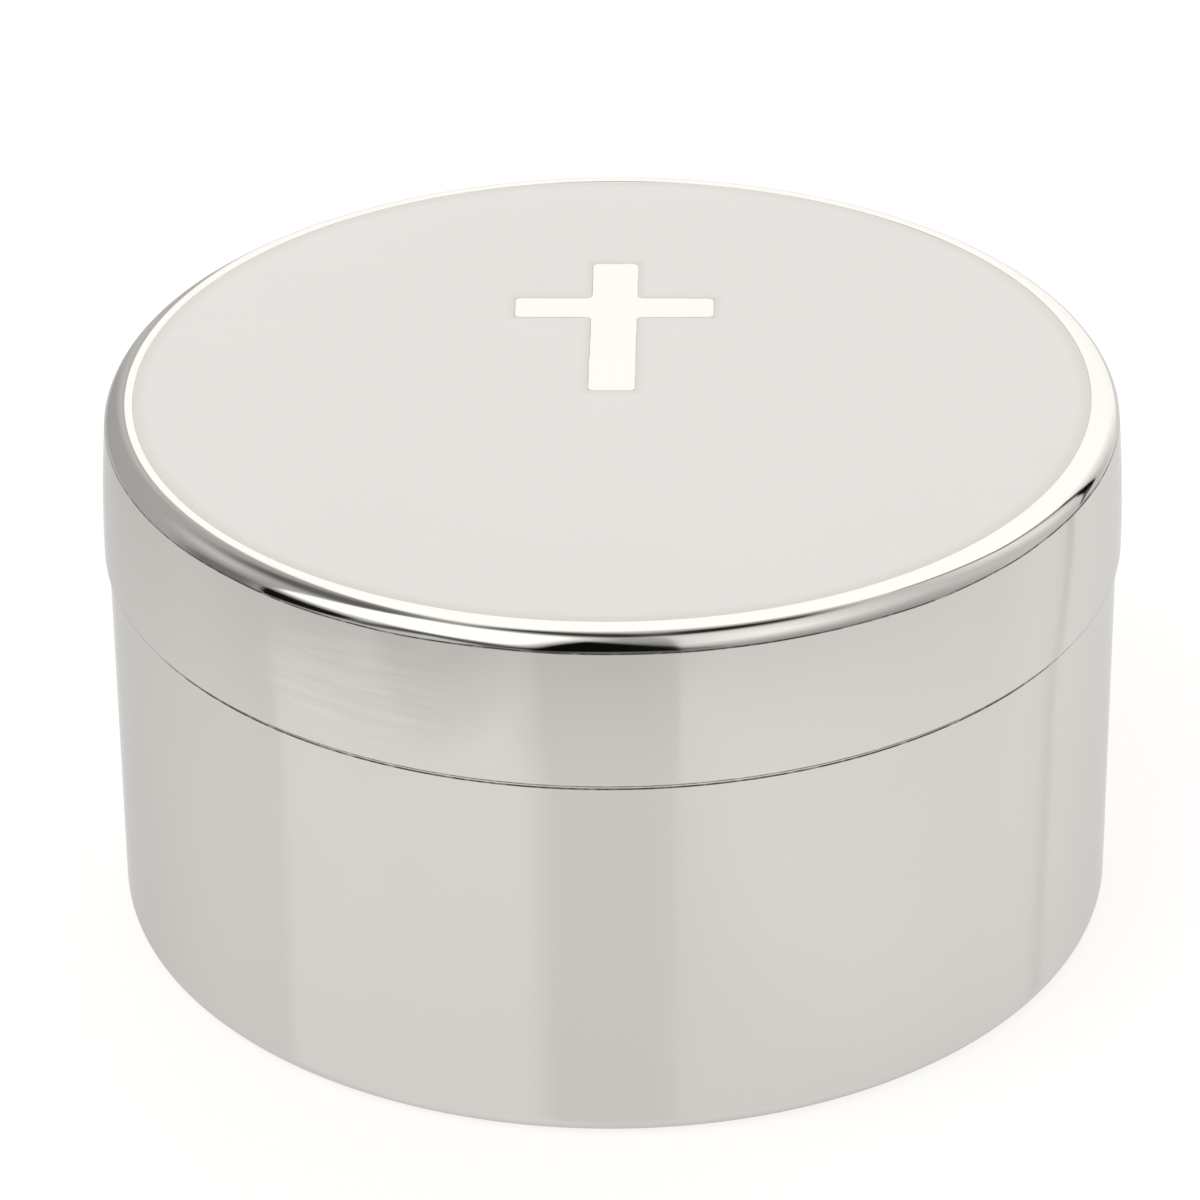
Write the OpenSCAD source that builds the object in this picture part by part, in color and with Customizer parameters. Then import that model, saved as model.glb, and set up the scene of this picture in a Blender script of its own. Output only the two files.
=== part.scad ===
// Round rosary box of plated sheet metal. The lid lifts straight off. Its top is filled flush with pale enamel round
// a plain cross, and card pads covered with velvet line the inside.
// Every section is drawn as (radius, height). Z is up, the table is z = 0, and the cross points to +Y.

/* [Metal] */
// Thickness of the drawn sheet of the base and the lid
sheet_t = 0.6; // [0.5:0.05:0.8]

/* [Base] */
// Outer radius of the base wall
base_r = 34.6; // [30:0.1:50]
// Height from the table to the rim of the base
base_h = 27; // [20:0.5:45]
// Outer radius of the bend between the wall and the floor
base_corner_r = 1.2; // [1:0.1:2]
// Radial width of the flat ring that the box stands on
foot_w = 2.6; // [1.5:0.1:5]
// Height by which the middle of the floor is pressed up inside that ring
floor_rise = 0.5; // [0.2:0.05:1]
// Radial width of the slope between the ring and the raised floor
floor_slope_w = 1; // [0.5:0.1:3]
// Radius that softens the outer edge of the rim
rim_edge_r = 0.12; // [0.05:0.01:0.2]

/* [Neck] */
// Wall of the neck ring, which is soldered inside the base and guides the lid
neck_t = 0.5; // [0.4:0.05:0.8]
// Height of the neck above the rim
neck_rise = 6.2; // [4:0.1:7]
// Depth of the neck below the rim, where it is soldered
neck_depth = 6; // [3:0.5:12]
// Turned-in radius at the top of the neck, which leads the lid on
neck_lead_r = 0.4; // [0.2:0.05:0.5]
// Clearance all round between the neck and the wall of the lid at its edge
slip_gap = 0.3; // [0.3:0.05:0.45]

/* [Lid] */
// Height of the lid from the rim of the base to its flat top
lid_h = 10.8; // [10:0.1:20]
// Distance by which the wall curves inwards between its edge and the crown
lid_lean = 0.45; // [0.3:0.05:0.5]
// Radial width of the rounded crown outside the flat ring
crown_w = 1.45; // [1.3:0.05:2]
// Height of the crown from the crease where it meets the wall to the flat top
crown_h = 1.3; // [1.1:0.05:1.5]
// Tilt of the crown where the flat top cuts it, in degrees
crown_tilt = 10; // [5:1:15]
// Radius inside the lid between its deck and its wall
lid_inner_r = 0.6; // [0.2:0.1:1]

/* [Enamel] */
// Radial width of the flat metal ring round the enamel
ring_w = 0.5; // [0.3:0.1:1.5]
// Depth of the recess, which the enamel and the cross fill to the brim
enamel_t = 0.5; // [0.3:0.05:0.8]

/* [Cross] */
// Distance of the crossing behind the middle of the lid
cross_back = 11.8; // [0:0.1:14]
// Length of the head and of each side arm from the crossing's middle
cross_arm = 6.95; // [4:0.05:10]
// Length of the foot from the crossing's middle
cross_foot = 12.6; // [8:0.05:18]
// Width of the upright
cross_upright_w = 3.2; // [2:0.05:5]
// Width of the crossbar
cross_bar_w = 2.95; // [2:0.05:5]
// Radius of the outer corners
cross_corner_r = 0.45; // [0.1:0.05:0.8]
// Fillet in the four inner corners
cross_fillet_r = 0.4; // [0.1:0.05:1]

/* [Lining] */
// Thickness of the lining card
card_t = 0.7; // [0.4:0.05:1]
// Thickness of the velvet with its pile
velvet_t = 0.5; // [0.3:0.05:0.8]
// Width of velvet that is turned under each pad
hem_w = 6; // [3:0.5:12]
// Clearance between the wall lining and the neck
liner_gap = 0.1; // [0.05:0.05:0.2]
// Clearance round each pad
pad_gap = 0.1; // [0.05:0.05:0.3]
// Distance of the wall lining's top below the top of the neck
liner_drop = 0.4; // [0.2:0.1:2]
// Width of the butt joint at the back of the wall card
card_joint_w = 0.4; // [0.2:0.1:1]
// Thickness of the floor pad's wadding in the middle
floor_wad_t = 1.6; // [1.2:0.1:3]
// Thickness of the lid pad's wadding in the middle
lid_wad_t = 0.9; // [0.8:0.05:1.2]
// Fall of the floor pad's shoulder from its flat middle to its edge
floor_pad_fall = 0.7; // [0.3:0.05:0.8]
// Fall of the lid pad's shoulder from its flat middle to its edge
lid_pad_fall = 0.35; // [0.2:0.05:0.4]
// Radial width of the shoulder on both pads
pad_shoulder_w = 8; // [5:0.5:12]
// Radius of the wadding's upper edge
wad_edge_r = 0.35; // [0.1:0.05:0.4]

/* [Hidden] */

$fn = 120;
// Segments of small corner arcs, of the crown's arc, of the lid wall's arc and of the pads' broad arcs
EDGE_FN = 32;
CROWN_FN = 90;
WALL_FN = 360;
DOME_FN = 720;
// Overlap that lets a cut run past a face
CUT = 1;

SILVER = [0.83, 0.82, 0.79];
ENAMEL = [0.9, 0.88, 0.86];
CARD = [0.62, 0.6, 0.55];
WADDING = [0.93, 0.92, 0.88];
VELVET = [0.09, 0.12, 0.27];

// Base and neck: the neck's outside is the base's inside, face to face
base_in_r = base_r - sheet_t;
base_corner_in_r = base_corner_r - sheet_t;
foot_out_r = base_r - base_corner_r;
foot_in_r = foot_out_r - foot_w;
floor_top_z = floor_rise + sheet_t;
neck_r = base_in_r;
neck_in_r = neck_r - neck_t;
neck_top_z = base_h + neck_rise;

// Lid: its wall slides over the neck and its edge sits on the rim of the base
lid_in_r = neck_r + slip_gap;
lid_r = lid_in_r + sheet_t;
lid_top_z = base_h + lid_h;
crease_z = lid_top_z - crown_h;
ring_r = lid_r - lid_lean - crown_w;
enamel_r = ring_r - ring_w;
recess_z = lid_top_z - enamel_t;
deck_z = recess_z - sheet_t;

// The wall's arc leaves the edge upright and leans in as far as the crease
wall_arc_r = fall_radius(crease_z - base_h, lid_lean);
wall_centre = [lid_r - wall_arc_r, base_h];

// The crown's arc runs from the crease to the ring, where it has its tilt
crown_r = norm([crown_w, crown_h]) / (2 * sin(atan2(crown_h, crown_w) - crown_tilt));
crown_centre = [ring_r - crown_r * sin(crown_tilt), lid_top_z - crown_r * cos(crown_tilt)];

// Centre of the radius inside the lid, which touches both the deck and the inside of the wall
inner_reach = wall_arc_r - sheet_t - lid_inner_r;
inner_rise = deck_z - lid_inner_r - base_h;
inner_centre = wall_centre + [sqrt(inner_reach * inner_reach - inner_rise * inner_rise), inner_rise];

// Wall lining: from the neck inwards come the card and the velvet. Both stand on the floor, or higher if the bend is so
// wide that the card's foot would meet it.
wall_card_r = neck_in_r - liner_gap;
wall_velvet_r = wall_card_r - card_t;
cavity_r = wall_velvet_r - velvet_t;
bend_reach = max(0, wall_card_r - base_in_r + base_corner_in_r);
liner_z = sheet_t + base_corner_in_r - sqrt(base_corner_in_r * base_corner_in_r - bend_reach * bend_reach);
liner_top_z = neck_top_z - liner_drop;
wall_card_top_z = liner_top_z - velvet_t;

// Pads: the floor pad fills the wall lining, and the lid pad fills the lid as far as the radius under the deck lets it
floor_pad_r = cavity_r - pad_gap;
lid_pad_r = inner_centre.x + lid_inner_r - max(pad_gap, lid_inner_r - velvet_t);

// Radius of an arc that leaves the level and falls by the given height over the given width
function fall_radius(width, fall) = (width * width + fall * fall) / (2 * fall);

// Centre of the small arc at radius r that touches both the wall and a broad arc from inside
function edge_centre(r, dome_c, dome_r, edge_r) =
  let (across = r - edge_r - dome_c.x, reach = dome_r - edge_r)
  [r - edge_r, dome_c.y + sqrt(reach * reach - across * across)];

// Section from the axis to radius r and from z0 up to a flat top, which a broad arc about dome_c carries on outwards
// as a shoulder, with its outer edge rounded
module domed_section(r, z0, dome_c, dome_r, edge_r) {
  edge_c = edge_centre(r, dome_c, dome_r, edge_r);
  slope = edge_c - dome_c;
  top_z = dome_c.y + dome_r;
  side = (top_z + CUT - edge_c.y) / slope.y;
  translate([0, z0])
    square([r, edge_c.y - z0]);
  intersection() {
    translate(edge_c)
      circle(edge_r, $fn = EDGE_FN);
    translate([0, z0])
      square([r + CUT, top_z - z0]);
  }
  intersection() {
    union() {
      translate(dome_c)
        circle(dome_r, $fn = DOME_FN);
      translate([0, z0])
        square([dome_c.x, top_z - z0]);
    }
    polygon([[0, z0], [0, top_z + CUT], edge_c + side * slope, edge_c, [edge_c.x, z0]]);
  }
}

// Section of a drawn cup: straight wall, bent corner and flat floor, up to height h
module cup_section(r, corner_r, z0, h) {
  translate([0, z0 + corner_r])
    square([r, h - corner_r]);
  translate([0, z0])
    square([r - corner_r, corner_r + CUT]);
  translate([r - corner_r, z0 + corner_r])
    circle(corner_r, $fn = EDGE_FN);
}

// Section of a press in the floor: a flat middle with a sloping edge
module floor_press(edge_r, z0, rise) {
  polygon([
    [0, z0 - CUT], [edge_r, z0 - CUT], [edge_r, z0], [edge_r - floor_slope_w, z0 + rise], [0, z0 + rise]
  ]);
}

// What is left of a square corner at the origin when it is rounded off towards +X and +Y
module corner_cut(r) {
  difference() {
    translate([-CUT, -CUT])
      square(r + CUT);
    translate([r, r])
      circle(r, $fn = EDGE_FN);
  }
}

// Bar of the given width and height about the origin, with rounded corners
module rounded_bar(w, h, r) {
  square([w, h - 2 * r], center = true);
  square([w - 2 * r, h], center = true);
  for (x = [-1, 1], y = [-1, 1])
    translate([x * (w / 2 - r), y * (h / 2 - r)])
      circle(r, $fn = EDGE_FN);
}

// Fillet that fills an inner corner at the origin towards +X and +Y
module corner_fillet(r) {
  difference() {
    square(r);
    translate([r, r])
      circle(r, $fn = EDGE_FN);
  }
}

// Outline of the cross, with its crossing at the origin and its head towards +Y
module cross_outline() {
  translate([0, (cross_arm - cross_foot) / 2])
    rounded_bar(cross_upright_w, cross_arm + cross_foot, cross_corner_r);
  rounded_bar(2 * cross_arm, cross_bar_w, cross_corner_r);
  for (x = [0, 1], y = [0, 1])
    mirror([x, 0])
      mirror([0, y])
        translate([cross_upright_w / 2, cross_bar_w / 2])
          corner_fillet(cross_fillet_r);
}

// Card disc of a pad that lies on z = 0. It rests on the velvet that is turned under it.
module pad_card(pad_r) {
  translate([0, 0, velvet_t])
    cylinder(h = card_t, r = pad_r - velvet_t);
}

// Shoulder arc of a pad's wadding: its radius and its centre
function shoulder_r(fall) = fall_radius(pad_shoulder_w, fall);
function shoulder_c(pad_r, wad_t, fall) =
  [pad_r - velvet_t - pad_shoulder_w, velvet_t + card_t + wad_t - shoulder_r(fall)];

// Section of the wadding of a pad, from the height z0 up
module wad_section(pad_r, wad_t, fall, z0) {
  domed_section(pad_r - velvet_t, z0, shoulder_c(pad_r, wad_t, fall), shoulder_r(fall), wad_edge_r);
}

// Wadding of a pad, on its card
module pad_wadding(pad_r, wad_t, fall) {
  rotate_extrude()
    wad_section(pad_r, wad_t, fall, velvet_t + card_t);
}

// Velvet of a pad: over the wadding, down the side and turned under the card round the card's edge
module pad_velvet(pad_r, wad_t, fall) {
  rotate_extrude()
    difference() {
      domed_section(
        pad_r, 0, shoulder_c(pad_r, wad_t, fall), shoulder_r(fall) + velvet_t, wad_edge_r + velvet_t
      );
      wad_section(pad_r, wad_t, fall, velvet_t);
      translate([0, -CUT])
        square([pad_r - velvet_t - hem_w, velvet_t + 2 * CUT]);
      translate([pad_r, 0])
        mirror([1, 0])
          corner_cut(velvet_t);
    }
}

// Puts a pad on the raised floor of the base
module on_floor() {
  translate([0, 0, floor_top_z])
    children();
}

// Puts a pad under the deck of the lid
module under_deck() {
  translate([0, 0, deck_z])
    mirror([0, 0, 1])
      children();
}

// Drawn cup with a bent corner, a pressed-up floor and a softened rim
module base_shell() {
  color(SILVER)
    rotate_extrude()
      difference() {
        cup_section(base_r, base_corner_r, 0, base_h);
        difference() {
          cup_section(base_in_r, base_corner_in_r, sheet_t, base_h);
          floor_press(foot_in_r, sheet_t, floor_rise);
        }
        floor_press(foot_in_r, 0, floor_rise);
        translate([base_r, base_h])
          rotate(180)
            corner_cut(rim_edge_r);
      }
}

// Guide ring inside the rim, rounded inwards at its top
module neck_ring() {
  color(SILVER)
    rotate_extrude()
      difference() {
        translate([neck_in_r, base_h - neck_depth])
          square([neck_t, neck_depth + neck_rise]);
        translate([neck_r, neck_top_z])
          rotate(180)
            corner_cut(neck_lead_r);
      }
}

// Card strip round the wall, bent to a ring and butted at the back
module wall_card() {
  color(CARD)
    difference() {
      rotate_extrude()
        translate([wall_velvet_r, liner_z])
          square([card_t, wall_card_top_z - liner_z]);
      translate([-card_joint_w / 2, 0, 0])
        cube([card_joint_w, base_r, neck_top_z]);
    }
}

// Velvet over the wall card, turned outwards over its top edge
module wall_velvet() {
  color(VELVET)
    rotate_extrude()
      difference() {
        translate([cavity_r, liner_z])
          square([card_t + velvet_t, liner_top_z - liner_z]);
        translate([wall_velvet_r, liner_z - CUT])
          square([card_t + CUT, wall_card_top_z - liner_z + CUT]);
        translate([cavity_r, liner_top_z])
          mirror([0, 1])
            corner_cut(velvet_t);
      }
}

// Card of the floor pad
module floor_card() {
  color(CARD)
    on_floor()
      pad_card(floor_pad_r);
}

// Wadding of the floor pad
module floor_wadding() {
  color(WADDING)
    on_floor()
      pad_wadding(floor_pad_r, floor_wad_t, floor_pad_fall);
}

// Velvet of the floor pad
module floor_velvet() {
  color(VELVET)
    on_floor()
      pad_velvet(floor_pad_r, floor_wad_t, floor_pad_fall);
}

// Section of the lid's outside: the curved wall up to the crease and the crown over it
module lid_outside() {
  intersection() {
    translate(wall_centre)
      circle(wall_arc_r, $fn = WALL_FN);
    translate([0, base_h])
      square([lid_r + CUT, crease_z - base_h]);
  }
  intersection() {
    union() {
      translate(crown_centre)
        circle(crown_r, $fn = CROWN_FN);
      translate([0, crease_z])
        square([crown_centre.x, crown_h]);
    }
    translate([0, crease_z])
      square([lid_r, crown_h]);
  }
}

// Section of the lid's hollow: the curved wall, the radius under the deck and the deck
module lid_hollow() {
  translate([0, base_h - CUT])
    square([inner_centre.x, deck_z - base_h + CUT]);
  translate(inner_centre)
    circle(lid_inner_r, $fn = EDGE_FN);
  intersection() {
    translate(wall_centre)
      circle(wall_arc_r - sheet_t, $fn = WALL_FN);
    polygon([
      [0, base_h - CUT], [lid_r + CUT, base_h - CUT],
      wall_centre + (1 + 2 * CUT / inner_reach) * (inner_centre - wall_centre), inner_centre, [0, inner_centre.y]
    ]);
  }
}

// Drawn lid: a rounded crown ground flat on top, a curved wall and the recess for the enamel
module lid_shell() {
  color(SILVER)
    rotate_extrude()
      difference() {
        lid_outside();
        lid_hollow();
        translate([0, recess_z])
          square([enamel_r, enamel_t + CUT]);
        translate([lid_r, base_h])
          mirror([1, 0])
            corner_cut(rim_edge_r);
      }
}

// Places a flat outline in the recess of the lid and gives it the enamel's thickness
module in_recess() {
  translate([0, 0, recess_z])
    linear_extrude(enamel_t)
      children();
}

// Enamel disc, ground flush with the ring and the cross
module enamel_fill() {
  color(ENAMEL)
    in_recess()
      difference() {
        circle(enamel_r);
        translate([0, cross_back])
          cross_outline();
      }
}

// Cross of plated metal, soldered to the floor of the recess
module cross_inlay() {
  color(SILVER)
    in_recess()
      translate([0, cross_back])
        cross_outline();
}

// Card of the lid pad
module lid_card() {
  color(CARD)
    under_deck()
      pad_card(lid_pad_r);
}

// Wadding of the lid pad
module lid_wadding() {
  color(WADDING)
    under_deck()
      pad_wadding(lid_pad_r, lid_wad_t, lid_pad_fall);
}

// Velvet of the lid pad
module lid_velvet() {
  color(VELVET)
    under_deck()
      pad_velvet(lid_pad_r, lid_wad_t, lid_pad_fall);
}

base_shell();
neck_ring();
wall_card();
wall_velvet();
floor_card();
floor_wadding();
floor_velvet();
lid_shell();
enamel_fill();
cross_inlay();
lid_card();
lid_wadding();
lid_velvet();
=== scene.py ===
"""Looks of a round rosary box: polished plated shells, an enamelled lid with a plain cross, and a velvet lining."""

import math

import bmesh
import bpy
from mathutils import Matrix, Vector
from mathutils.noise import noise


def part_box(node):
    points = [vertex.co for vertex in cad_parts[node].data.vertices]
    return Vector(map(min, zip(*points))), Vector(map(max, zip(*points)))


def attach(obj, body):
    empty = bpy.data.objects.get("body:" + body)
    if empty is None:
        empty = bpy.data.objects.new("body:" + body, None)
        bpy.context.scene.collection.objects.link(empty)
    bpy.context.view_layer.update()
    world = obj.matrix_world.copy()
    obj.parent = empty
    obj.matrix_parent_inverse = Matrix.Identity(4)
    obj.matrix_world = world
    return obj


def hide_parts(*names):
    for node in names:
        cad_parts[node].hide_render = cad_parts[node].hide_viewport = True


bl_info = {
    "name": "Rosary Box",
    "version": (1, 0, 0),
    "blender": (4, 5, 0),
    "location": "View3D > Sidebar > Rosary Box",
    "description": "Dresses the rosary box in polished plate, enamel and velvet",
    "category": "Object",
}

MM = 0.001
TURN_STEPS = 360

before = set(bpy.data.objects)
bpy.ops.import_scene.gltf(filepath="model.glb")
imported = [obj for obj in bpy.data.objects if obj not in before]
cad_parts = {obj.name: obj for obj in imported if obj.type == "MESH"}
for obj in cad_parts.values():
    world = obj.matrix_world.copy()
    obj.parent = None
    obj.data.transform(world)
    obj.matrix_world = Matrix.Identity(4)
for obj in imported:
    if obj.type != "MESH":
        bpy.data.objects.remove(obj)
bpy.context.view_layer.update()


def low(node):
    """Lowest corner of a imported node."""
    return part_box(node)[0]


def high(node):
    """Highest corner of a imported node."""
    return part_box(node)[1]


# Sizes


def length(name, description, default, least=0.0, most=0.1):
    """A length in metres that a user may change."""
    return bpy.props.FloatProperty(
        name=name, description=description, default=default, min=least, max=most, subtype="DISTANCE", unit="LENGTH",
        precision=5,
    )


def colour(name, description, default):
    """A linear colour that a user may change."""
    return bpy.props.FloatVectorProperty(
        name=name, description=description, default=default, size=3, min=0.0, max=1.0, subtype="COLOR",
    )


def share(name, description, default, most=1.0):
    """A plain number that a user may change."""
    return bpy.props.FloatProperty(name=name, description=description, default=default, min=0.0, max=most)


class RosaryBoxMetal(bpy.types.PropertyGroup):
    """Sizes of the drawn base, the neck and the lid."""

    base_r: length("Base radius", "Outer radius of the base wall", high("base_shell").x)
    base_h: length("Base height", "Height of the rim of the base", high("base_shell").z)
    base_corner: length("Base bend", "Outer radius between wall and floor", 1.2 * MM)
    sheet: length("Sheet", "Thickness of the drawn sheet", high("base_shell").x - high("neck_ring").x)
    foot: length("Foot ring", "Radial width of the ring that the box stands on", 2.6 * MM)
    floor_rise: length("Floor rise", "Height by which the floor is pressed up", 0.5 * MM)
    floor_slope: length("Floor slope", "Radial width of the slope round the raised floor", 1.0 * MM)
    rim_edge: length("Rim edge", "Radius that softens the rims at the seam", 0.12 * MM)
    neck_t: length("Neck wall", "Thickness of the neck ring", 0.5 * MM)
    neck_lead: length("Neck lead", "Radius at the top of the neck", 0.4 * MM)
    lid_r: length("Lid radius", "Outer radius of the lid", high("lid_shell").x)
    lid_top: length("Lid top", "Height of the flat top of the lid", high("lid_shell").z)
    lid_lean: length("Lid lean", "Distance by which the lid's wall curves inwards up to the crown", 0.45 * MM)
    crown_w: length("Crown width", "Radial width of the rounded crown", 1.45 * MM)
    crown_h: length("Crown height", "Height of the crown above the crease where it meets the wall", 1.3 * MM)
    crown_tilt: bpy.props.FloatProperty(
        name="Crown tilt", description="Tilt of the crown where the flat ring cuts it", default=math.radians(10),
        subtype="ANGLE", unit="ROTATION",
    )
    lid_inner: length("Inner bend", "Radius under the deck of the lid", 0.6 * MM)


class RosaryBoxTop(bpy.types.PropertyGroup):
    """Sizes of the enamel and the cross."""

    enamel_r: length("Enamel radius", "Radius of the enamel disc", high("enamel_fill").x)
    enamel_low: length("Recess", "Height of the recess floor", low("enamel_fill").z)
    lip: length("Lip", "Width over which the enamel sinks beside the metal", 0.14 * MM)
    sink: length("Sink", "Depth of the enamel beside the metal", 0.02 * MM)
    cross_y: length(
        "Crossing", "Distance of the crossing behind the middle", high("cross_inlay").y - high("cross_inlay").x,
    )
    cross_arm: length("Arm", "Length of the head and of each side arm", high("cross_inlay").x)
    cross_end: length("Foot end", "Place of the foot's end", low("cross_inlay").y, -0.1)
    upright: length("Upright", "Width of the upright", 3.2 * MM)
    bar: length("Bar", "Width of the crossbar", 2.95 * MM)
    corner: length("Corner", "Radius of the outer corners of the cross", 0.45 * MM)
    fillet: length("Fillet", "Fillet in the inner corners of the cross", 0.4 * MM)
    bevel: length("Bevel", "Worn edge of the metal beside the enamel", 0.03 * MM)


class RosaryBoxLining(bpy.types.PropertyGroup):
    """Sizes of the velvet lining."""

    wall_out: length("Wall lining", "Outer radius of the wall lining", high("wall_velvet").x)
    wall_top: length("Lining top", "Height of the wall lining's rolled edge", high("wall_velvet").z)
    wall_foot: length("Lining foot", "Height of the wall lining's foot", low("wall_velvet").z)
    wall_t: length("Lining", "Thickness of the card with its velvet", 1.2 * MM)
    velvet_t: length("Velvet", "Thickness of the velvet with its pile", 0.5 * MM)
    floor_r: length("Floor pad", "Radius of the floor pad", high("floor_velvet").x)
    floor_low: length("Floor pad foot", "Height of the floor pad's underside", low("floor_velvet").z)
    floor_top: length("Floor pad top", "Height of the floor pad's crown", high("floor_velvet").z)
    floor_fall: length("Floor pad fall", "Fall of the floor pad's shoulder", 0.7 * MM)
    lid_r: length("Lid pad", "Radius of the lid pad", high("lid_velvet").x)
    lid_low: length("Lid pad crown", "Height of the lid pad's crown, which faces down", low("lid_velvet").z)
    lid_top: length("Lid pad back", "Height of the lid pad's back", high("lid_velvet").z)
    lid_fall: length("Lid pad fall", "Fall of the lid pad's shoulder", 0.35 * MM)
    shoulder: length("Shoulder", "Radial width of the shoulder on both pads", 8.0 * MM)


class RosaryBoxFinish(bpy.types.PropertyGroup):
    """Colours of the finishes."""

    plate: colour("Plate", "Colour of the polished plate", (0.86, 0.835, 0.8))
    # Painted shade in the seams and in the lid's crease, with some tarnishing.
    tarnish_and_seam_shade: colour("Tarnish", "Colour of tarnish and polish left in the seams", (0.1, 0.08, 0.06))
    enamel: colour("Enamel", "Colour of the enamel", (0.79, 0.763, 0.74))
    # This colour is also painted round the cross as painted shade.
    enamel_edge_and_shade: colour("Enamel edge", "Colour of the enamel where it thins beside the metal", (0.65, 0.59, 0.54))
    velvet: colour("Velvet", "Colour of the velvet", (0.012, 0.02, 0.075))
    # The lighter colour of a painted sheen on the brushed pile.
    painted_pile_sheen: colour("Nap", "Colour of the velvet where its pile catches the light", (0.05, 0.075, 0.22))
    card: colour("Card", "Colour of the lining card", (0.36, 0.33, 0.28))
    waviness: share("Waviness", "How much the drawn sheet bends what it mirrors", 0.25)


class RosaryBoxStudio(bpy.types.PropertyGroup):
    """Floor, light tent and camera."""

    floor: colour("Floor", "Colour of the floor", (0.84, 0.84, 0.835))
    floor_r: length("Floor radius", "Radius of the floor", 0.25, most=10.0)
    tent: share("Tent", "Brightness of the whole tent", 1.0, 4.0)
    lamp_at: bpy.props.FloatVectorProperty(
        name="Lamp", description="Place of the soft lamp", default=(-0.35, -0.3, 0.9), size=3, subtype="TRANSLATION",
        unit="LENGTH",
    )
    lamp_size: length("Lamp size", "Diameter of the soft lamp", 0.8, most=5.0)
    lamp_power: bpy.props.FloatProperty(
        name="Lamp power", description="Power of the soft lamp", default=2.7, min=0.0, unit="POWER",
    )
    camera_at: bpy.props.FloatVectorProperty(
        name="Camera", description="Place of the camera", default=(0.00707, -0.33869, 0.21215), size=3,
        subtype="TRANSLATION", unit="LENGTH",
    )
    lens: bpy.props.FloatProperty(name="Lens", description="Focal length in millimetres", default=168.07, min=1.0)


# Meshes


def arc(centre, radius, start, end, step=6.0):
    """Points of an arc in the (radius, height) plane, both ends included. Angles are degrees from the outward level."""
    count = max(2, math.ceil(abs(end - start) / step))
    angles = [math.radians(start + (end - start) * i / count) for i in range(count + 1)]
    return [(centre[0] + radius * math.cos(a), centre[1] + radius * math.sin(a)) for a in angles]


def softened(points, radius, step=15.0):
    """An open profile with each of its inner corners rounded by the given radius, or by the radius at its own place."""
    radii = radius if isinstance(radius, (list, tuple)) else [radius] * len(points)
    out = [points[0]]
    for before, here, after, r in zip(points, points[1:], points[2:], radii[1:]):
        a, b, c = Vector(before), Vector(here), Vector(after)
        u, v = (a - b).normalized(), (c - b).normalized()
        half = math.acos(max(-1.0, min(1.0, u.dot(v)))) / 2
        if r <= 0 or half > math.radians(89):
            out.append(tuple(b))
            continue
        reach = min(r / math.tan(half), (a - b).length * 0.45, (c - b).length * 0.45)
        r = reach * math.tan(half)
        centre = b + (u + v).normalized() * (r / math.sin(half))
        first, last = b + u * reach - centre, b + v * reach - centre
        turn = first.angle_signed(last) if first.length and last.length else 0.0
        count = max(2, math.ceil(abs(math.degrees(turn)) / step))
        for i in range(count + 1):
            a = -turn * i / count
            out.append(tuple(centre + Matrix.Rotation(a, 2) @ first))
    return out + [points[-1]]


def supported(points, near=0.04 * MM, least=0.6 * MM):
    """The profile with a point close to each end of its long stretches, so that they mirror without bending."""
    out = []
    for a, b in zip(points, points[1:]):
        a, b = Vector(a), Vector(b)
        out.append(tuple(a))
        if (b - a).length > least:
            way = (b - a).normalized() * near
            out += [tuple(a + way), tuple(b - way)]
    return out + [points[-1]]


def new_object(name, bm, material, sharp=35.0):
    """A smooth-shaded object made from bm, with sharp edges kept where faces meet at more than the given angle."""
    mesh = bpy.data.meshes.new(name)
    bmesh.ops.recalc_face_normals(bm, faces=bm.faces[:])
    bm.to_mesh(mesh)
    bm.free()
    mesh.shade_smooth()
    mesh.set_sharp_from_angle(angle=math.radians(sharp))
    mesh.materials.append(material)
    obj = bpy.data.objects.new(name, mesh)
    bpy.context.scene.collection.objects.link(obj)
    return obj


def lathe(profile, steps=TURN_STEPS, closed=True):
    """A mesh turned round the upright axis from a profile in (radius, height). A closed profile ends where it began,
    or both of its ends lie on the axis."""
    bm = bmesh.new()
    points = [bm.verts.new((r, 0.0, z)) for r, z in profile]
    edges = [bm.edges.new(pair) for pair in zip(points, points[1:])]
    if closed and profile[0][0] > 1e-7:
        edges.append(bm.edges.new((points[-1], points[0])))
    bmesh.ops.spin(
        bm, geom=points + edges, cent=(0, 0, 0), axis=(0, 0, 1), angle=math.tau, steps=steps, use_merge=True,
    )
    bmesh.ops.remove_doubles(bm, verts=bm.verts[:], dist=1e-7)
    return bm


# Materials

STAIN_COLOUR = (0.42, 0.36, 0.28)
PIT_COLOUR = (0.4, 0.37, 0.33)
PAINTED_REFLECTION_GAIN = 1.06  # how much lighter the plate is painted in the streaks of painted reflection
DULL_PATCHES = 0.07  # what the dull patches add to the plate's roughness
GRAZING_TINT = (0.88, 0.88, 0.88, 1.0)  # what the plate mirrors at a grazing angle


def group(name, build, inputs, outputs):
    """A shader node group, built once. Inputs and outputs are names with their defaults, a number or a vector."""
    found = bpy.data.node_groups.get(name)
    if found:
        return found
    tree = bpy.data.node_groups.new(name, "ShaderNodeTree")
    for way, sockets in (("INPUT", inputs), ("OUTPUT", outputs)):
        for socket, default in sockets.items():
            kind = "NodeSocketVector" if isinstance(default, tuple) else "NodeSocketFloat"
            tree.interface.new_socket(socket, in_out=way, socket_type=kind).default_value = default
    build(tree, tree.nodes.new("NodeGroupInput").outputs, tree.nodes.new("NodeGroupOutput").inputs)
    return tree


def place(tree, made, point, **values):
    """A node that uses a group, with a socket for its first input and values for the others. Returns its outputs."""
    node = tree.nodes.new("ShaderNodeGroup")
    node.node_tree = made
    tree.links.new(point, node.inputs[0])
    for key, value in values.items():
        node.inputs[key.replace("__", " ")].default_value = value
    return node.outputs


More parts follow.
